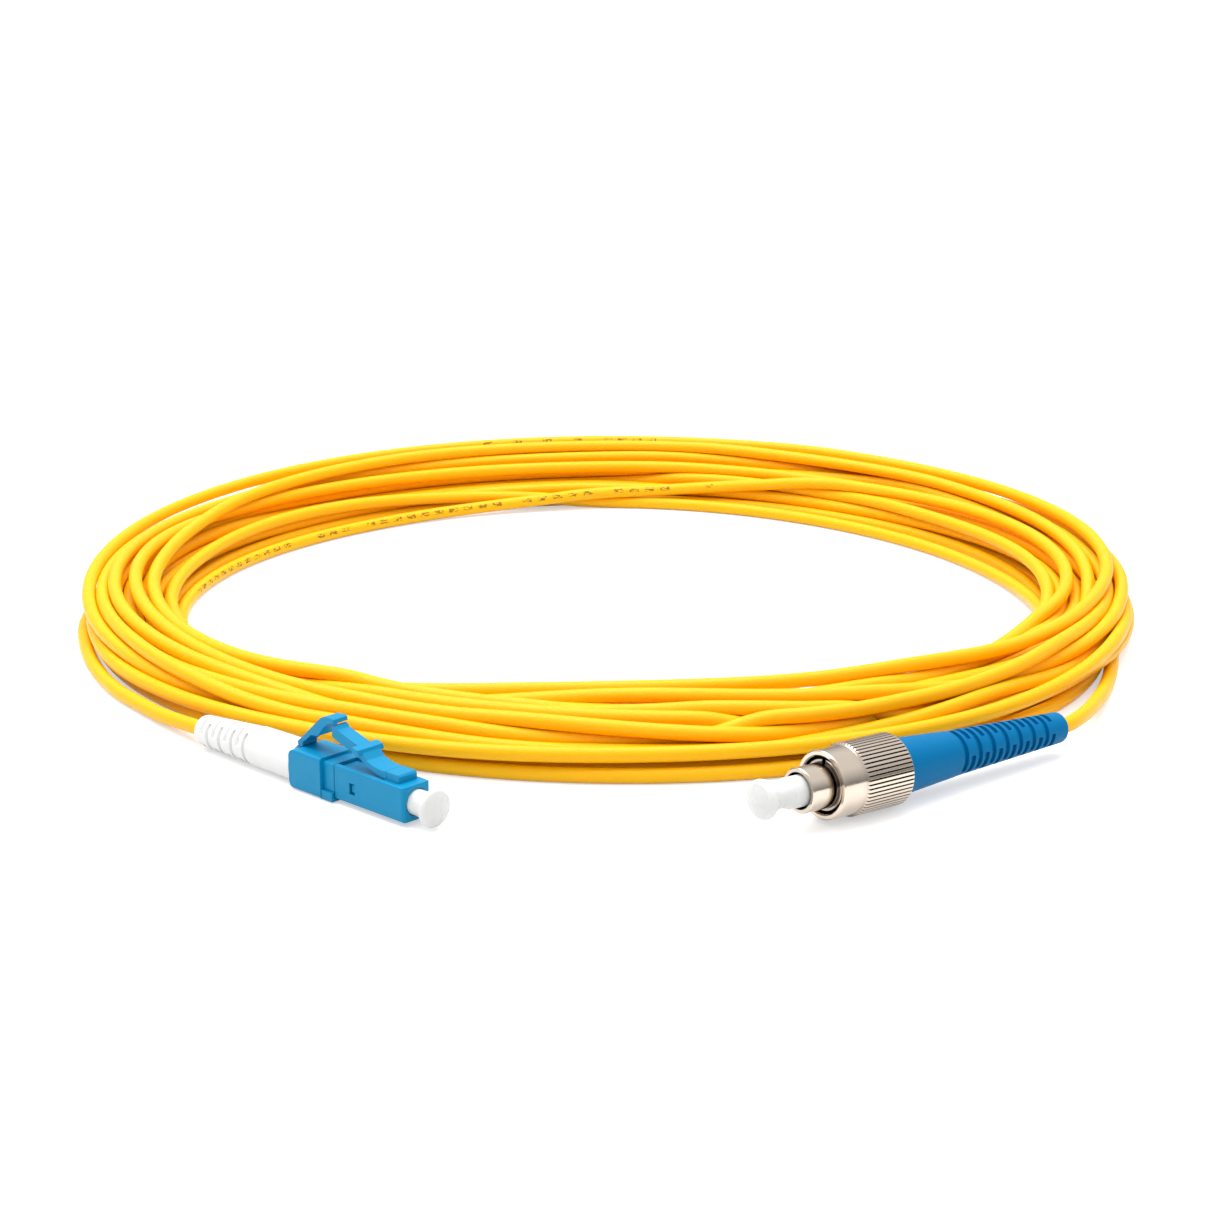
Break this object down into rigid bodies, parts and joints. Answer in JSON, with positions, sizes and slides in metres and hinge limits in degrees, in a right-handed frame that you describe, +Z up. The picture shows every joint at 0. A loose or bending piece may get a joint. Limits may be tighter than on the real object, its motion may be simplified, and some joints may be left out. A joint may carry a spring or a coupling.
{
  "type": "fiber optic patch cord",
  "caption": "Coiled yellow fibre patch cord with a latched square plug on one end and a screw-on round plug on the other, both capped.",
  "frame": {"origin": "middle of the coil, on the surface that the cord lies on", "axes": "+Z up from that surface, +Y from the two plugs towards the far side of the coil, +X to the screw plug's side"},
  "size_m": [0.166, 0.188, 0.0107],
  "materials": {
    "plug_blue": "satin",
    "boot_white": "matte",
    "boot_blue": "satin",
    "cap_white": "satin",
    "nickel_plate": "satin",
    "bright_steel": "satin",
    "zirconia": "polished",
    "aramid": "matte",
    "jacket_yellow": "satin"
  },
  "bodies": {
    "cord": {"lc_plug_housing": "plug_blue", "lc_backbone": "plug_blue", "lc_rear_clip": "plug_blue", "lc_spring": "bright_steel", "lc_crimp_sleeve": "nickel_plate", "lc_aramid_yarn": "aramid", "lc_fibre": "jacket_yellow", "lc_boot": "boot_white", "fc_barrel": "nickel_plate", "fc_key_ring": "nickel_plate", "fc_spring": "bright_steel", "fc_rear_body": "nickel_plate", "fc_crimp_sleeve": "nickel_plate", "fc_aramid_yarn": "aramid", "fc_fibre": "jacket_yellow", "fc_boot": "boot_blue", "cable_coil": "jacket_yellow", "lc_cable_tail": "jacket_yellow", "fc_cable_tail": "jacket_yellow"},
    "lc_latch": {"lc_latch_arm": "plug_blue"},
    "lc_trigger": {"lc_trigger": "plug_blue"},
    "lc_ferrule": {"lc_ferrule": "zirconia", "lc_ferrule_flange": "bright_steel"},
    "lc_cap": {"lc_dust_cap": "cap_white"},
    "fc_ring": {"fc_retaining_ring": "bright_steel"},
    "fc_nut": {"fc_coupling_nut": "nickel_plate"},
    "fc_ferrule": {"fc_ferrule": "zirconia", "fc_ferrule_flange": "bright_steel"},
    "fc_cap": {"fc_dust_cap": "cap_white"}
  },
  "joints": [
    {"name": "lc_trigger_press", "type": "hinge", "parent": "cord", "child": "lc_trigger", "pos_m": [-0.03845, -0.08262, 0.0059], "axis": [0.6884, 0.7254, 0], "range_deg": [0, 12], "stiffness_Nm_per_rad": 0.0005},
    {"name": "lc_latch_flex", "type": "hinge", "parent": "cord", "child": "lc_latch", "pos_m": [-0.02655, -0.09391, 0.0057], "axis": [0.6884, 0.7254, 0], "range_deg": [-10, 0], "stiffness_Nm_per_rad": 0.0005},
    {"name": "lc_ferrule_float", "type": "slide", "parent": "cord", "child": "lc_ferrule", "axis": [-0.7254, 0.6884, 0], "range_m": [0, 0.0012], "stiffness_N_per_m": 1500, "springref_m": -0.002, "deforming": ["lc_spring"]},
    {"name": "lc_cap_pull", "type": "slide", "parent": "lc_ferrule", "child": "lc_cap", "axis": [0.7254, -0.6884, 0], "range_m": [0, 0.012]},
    {"name": "fc_nut_slide", "type": "slide", "parent": "cord", "child": "fc_ring", "axis": [-0.7876, -0.6153, 0.0332], "range_m": [0, 0.0028]},
    {"name": "fc_nut_turn", "type": "hinge", "parent": "fc_ring", "child": "fc_nut", "pos_m": [0.03425, -0.09075, 0.00475], "axis": [-0.7876, -0.6153, 0.0332], "continuous": true},
    {"name": "fc_ferrule_float", "type": "slide", "parent": "cord", "child": "fc_ferrule", "axis": [0.7876, 0.6153, -0.0332], "range_m": [0, 0.0014], "stiffness_N_per_m": 2500, "springref_m": -0.002, "deforming": ["fc_spring"]},
    {"name": "fc_cap_pull", "type": "slide", "parent": "fc_ferrule", "child": "fc_cap", "axis": [-0.7876, -0.6153, 0.0332], "range_m": [0, 0.012]}
  ],
  "couplings": [
    {"joint": "lc_latch_flex", "follows": "lc_trigger_press", "ratio": -0.8}
  ]
}
